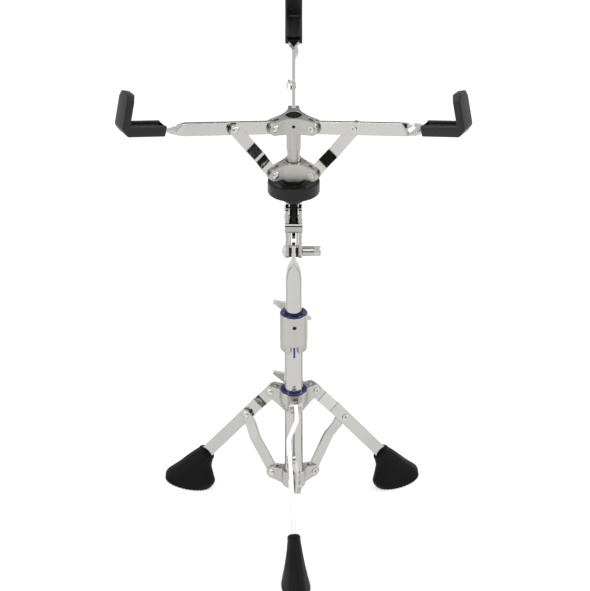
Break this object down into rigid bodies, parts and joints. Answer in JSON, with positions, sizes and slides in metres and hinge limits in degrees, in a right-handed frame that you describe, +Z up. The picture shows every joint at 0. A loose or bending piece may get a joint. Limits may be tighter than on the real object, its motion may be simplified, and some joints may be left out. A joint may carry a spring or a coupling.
{
  "type": "snare drum stand",
  "caption": "Folding snare drum stand: tripod legs with rubber feet, telescopic post, tilter and a screw-closed basket of arms with rubber claws.",
  "frame": {"origin": "on the post's axis at floor level, under the middle of the tripod", "axes": "+Z up along the post, +Y along the basket arm that points away from the viewer in the picture"},
  "size_m": [0.3846, 0.3978, 0.6097],
  "materials": {
    "chrome": "bright chrome plate",
    "casting": "satin plated casting",
    "wing_metal": "pale plated casting",
    "rivet": "bright nickel",
    "blue_plastic": "satin blue",
    "black_plastic": "satin black",
    "black_steel": "black oxide",
    "rubber": "matt black"
  },
  "bodies": {
    "base": {"lower_tube": "chrome", "height_sleeve": "casting", "height_bush": "blue_plastic", "lower_collar": "casting", "collar_rivets": "rivet"},
    "leg_hub": {"leg_hub": "casting", "leg_hub_bush": "blue_plastic", "leg_hub_rivets": "rivet"},
    "leg_wing": {"leg_wing_bolt": "wing_metal"},
    "height_wing": {"height_wing_bolt": "wing_metal"},
    "upper_post": {"upper_tube": "chrome"},
    "basket": {"tilt_yoke": "casting", "tilt_bolt": "rivet", "tilt_washers": "black_plastic", "basket_rod": "black_steel", "yoke_pins": "rivet", "upper_hub": "casting", "upper_hub_rivets": "rivet", "hub_cap": "black_plastic", "hub_screw": "black_steel"},
    "lower_hub": {"lower_hub": "casting", "guide_tube": "chrome", "lower_hub_rivets": "rivet"},
    "knob": {"basket_knob": "black_plastic"},
    "tilt_handle": {"tilt_handle": "wing_metal"},
    "leg_1": {"leg_1": "chrome", "foot_1": "rubber", "leg_rivet_1": "rivet", "leg_washer_1": "rivet"},
    "brace_1": {"brace_1": "chrome"},
    "arm_1": {"arm_1": "chrome", "claw_1": "rubber", "arm_rivet_1": "rivet", "arm_washer_1": "rivet"},
    "strut_1": {"strut_1": "chrome"},
    "leg_2": {"leg_2": "chrome", "foot_2": "rubber", "leg_rivet_2": "rivet", "leg_washer_2": "rivet"},
    "brace_2": {"brace_2": "chrome"},
    "arm_2": {"arm_2": "chrome", "claw_2": "rubber", "arm_rivet_2": "rivet", "arm_washer_2": "rivet"},
    "strut_2": {"strut_2": "chrome"},
    "leg_3": {"leg_3": "chrome", "foot_3": "rubber", "leg_rivet_3": "rivet", "leg_washer_3": "rivet"},
    "brace_3": {"brace_3": "chrome"},
    "arm_3": {"arm_3": "chrome", "claw_3": "rubber", "arm_rivet_3": "rivet", "arm_washer_3": "rivet"},
    "strut_3": {"strut_3": "chrome"}
  },
  "joints": [
    {"name": "leg_fold", "type": "slide", "parent": "base", "child": "leg_hub", "axis": [0, 0, 1], "range_m": [0, 0.02342]},
    {"name": "leg_clamp", "type": "hinge", "parent": "leg_hub", "child": "leg_wing", "pos_m": [0, 0, 0.1751], "axis": [-0.0854, 0.9963, 0], "continuous": true},
    {"name": "height", "type": "slide", "parent": "base", "child": "upper_post", "axis": [0, 0, 1], "range_m": [-0.035, 0.11]},
    {"name": "height_clamp", "type": "hinge", "parent": "base", "child": "height_wing", "pos_m": [0, 0, 0.271], "axis": [-0.061, 0.9981, 0], "continuous": true},
    {"name": "tilt", "type": "hinge", "parent": "upper_post", "child": "basket", "pos_m": [0, 0, 0.3639], "axis": [1, 0, 0], "range_deg": [-80, 80]},
    {"name": "tilt_clamp", "type": "hinge", "parent": "basket", "child": "tilt_handle", "pos_m": [0.02, 0, 0.3639], "axis": [1, 0, 0], "continuous": true},
    {"name": "basket_grip", "type": "slide", "parent": "basket", "child": "lower_hub", "axis": [0, 0, 1], "range_m": [0, 0.01849]},
    {"name": "knob_turn", "type": "hinge", "parent": "lower_hub", "child": "knob", "pos_m": [0, 0, 0.4474], "axis": [0, 0, 1], "continuous": true},
    {"name": "leg_1_fold", "type": "hinge", "parent": "leg_hub", "child": "leg_1", "pos_m": [0.00238, -0.0278, 0.1711], "axis": [0.9963, 0.0854, 0], "range_deg": [0, 32.81]},
    {"name": "brace_1_fold", "type": "hinge", "parent": "leg_1", "child": "brace_1", "pos_m": [0.00564, -0.06582, 0.12364], "axis": [-0.9963, -0.0854, 0], "range_deg": [0, 57.92]},
    {"name": "leg_2_fold", "type": "hinge", "parent": "leg_hub", "child": "leg_2", "pos_m": [0.02288, 0.01596, 0.1711], "axis": [-0.5721, 0.8202, 0], "range_deg": [0, 32.81]},
    {"name": "brace_2_fold", "type": "hinge", "parent": "leg_2", "child": "brace_2", "pos_m": [0.05418, 0.0378, 0.12364], "axis": [0.5721, -0.8202, 0], "range_deg": [0, 57.92]},
    {"name": "leg_3_fold", "type": "hinge", "parent": "leg_hub", "child": "leg_3", "pos_m": [-0.02526, 0.01184, 0.1711], "axis": [-0.4242, -0.9056, 0], "range_deg": [0, 32.81]},
    {"name": "brace_3_fold", "type": "hinge", "parent": "leg_3", "child": "brace_3", "pos_m": [-0.05982, 0.02802, 0.12364], "axis": [0.4242, 0.9056, 0], "range_deg": [0, 57.92]},
    {"name": "arm_1_fold", "type": "hinge", "parent": "basket", "child": "arm_1", "pos_m": [0, 0.0264, 0.5261], "axis": [1, 0, 0], "range_deg": [0, 36.21]},
    {"name": "strut_1_fold", "type": "hinge", "parent": "arm_1", "child": "strut_1", "pos_m": [0, 0.0772, 0.53671], "axis": [1, 0, 0], "range_deg": [-23.58, 0]},
    {"name": "arm_2_fold", "type": "hinge", "parent": "basket", "child": "arm_2", "pos_m": [-0.02286, -0.0132, 0.5261], "axis": [-0.5, 0.866, 0], "range_deg": [0, 36.21]},
    {"name": "strut_2_fold", "type": "hinge", "parent": "arm_2", "child": "strut_2", "pos_m": [-0.06686, -0.0386, 0.53671], "axis": [-0.5, 0.866, 0], "range_deg": [-23.58, 0]},
    {"name": "arm_3_fold", "type": "hinge", "parent": "basket", "child": "arm_3", "pos_m": [0.02286, -0.0132, 0.5261], "axis": [-0.5, -0.866, 0], "range_deg": [0, 36.21]},
    {"name": "strut_3_fold", "type": "hinge", "parent": "arm_3", "child": "strut_3", "pos_m": [0.06686, -0.0386, 0.53671], "axis": [-0.5, -0.866, 0], "range_deg": [-23.58, 0]}
  ],
  "couplings": [
    {"joint": "leg_1_fold", "follows": "leg_fold", "rad_per_m": 24.444},
    {"joint": "brace_1_fold", "follows": "leg_fold", "rad_per_m": 43.154},
    {"joint": "leg_2_fold", "follows": "leg_fold", "rad_per_m": 24.444},
    {"joint": "brace_2_fold", "follows": "leg_fold", "rad_per_m": 43.154},
    {"joint": "leg_3_fold", "follows": "leg_fold", "rad_per_m": 24.444},
    {"joint": "brace_3_fold", "follows": "leg_fold", "rad_per_m": 43.154},
    {"joint": "arm_1_fold", "follows": "basket_grip", "rad_per_m": 34.166},
    {"joint": "strut_1_fold", "follows": "basket_grip", "rad_per_m": -22.248},
    {"joint": "arm_2_fold", "follows": "basket_grip", "rad_per_m": 34.166},
    {"joint": "strut_2_fold", "follows": "basket_grip", "rad_per_m": -22.248},
    {"joint": "arm_3_fold", "follows": "basket_grip", "rad_per_m": 34.166},
    {"joint": "strut_3_fold", "follows": "basket_grip", "rad_per_m": -22.248}
  ]
}
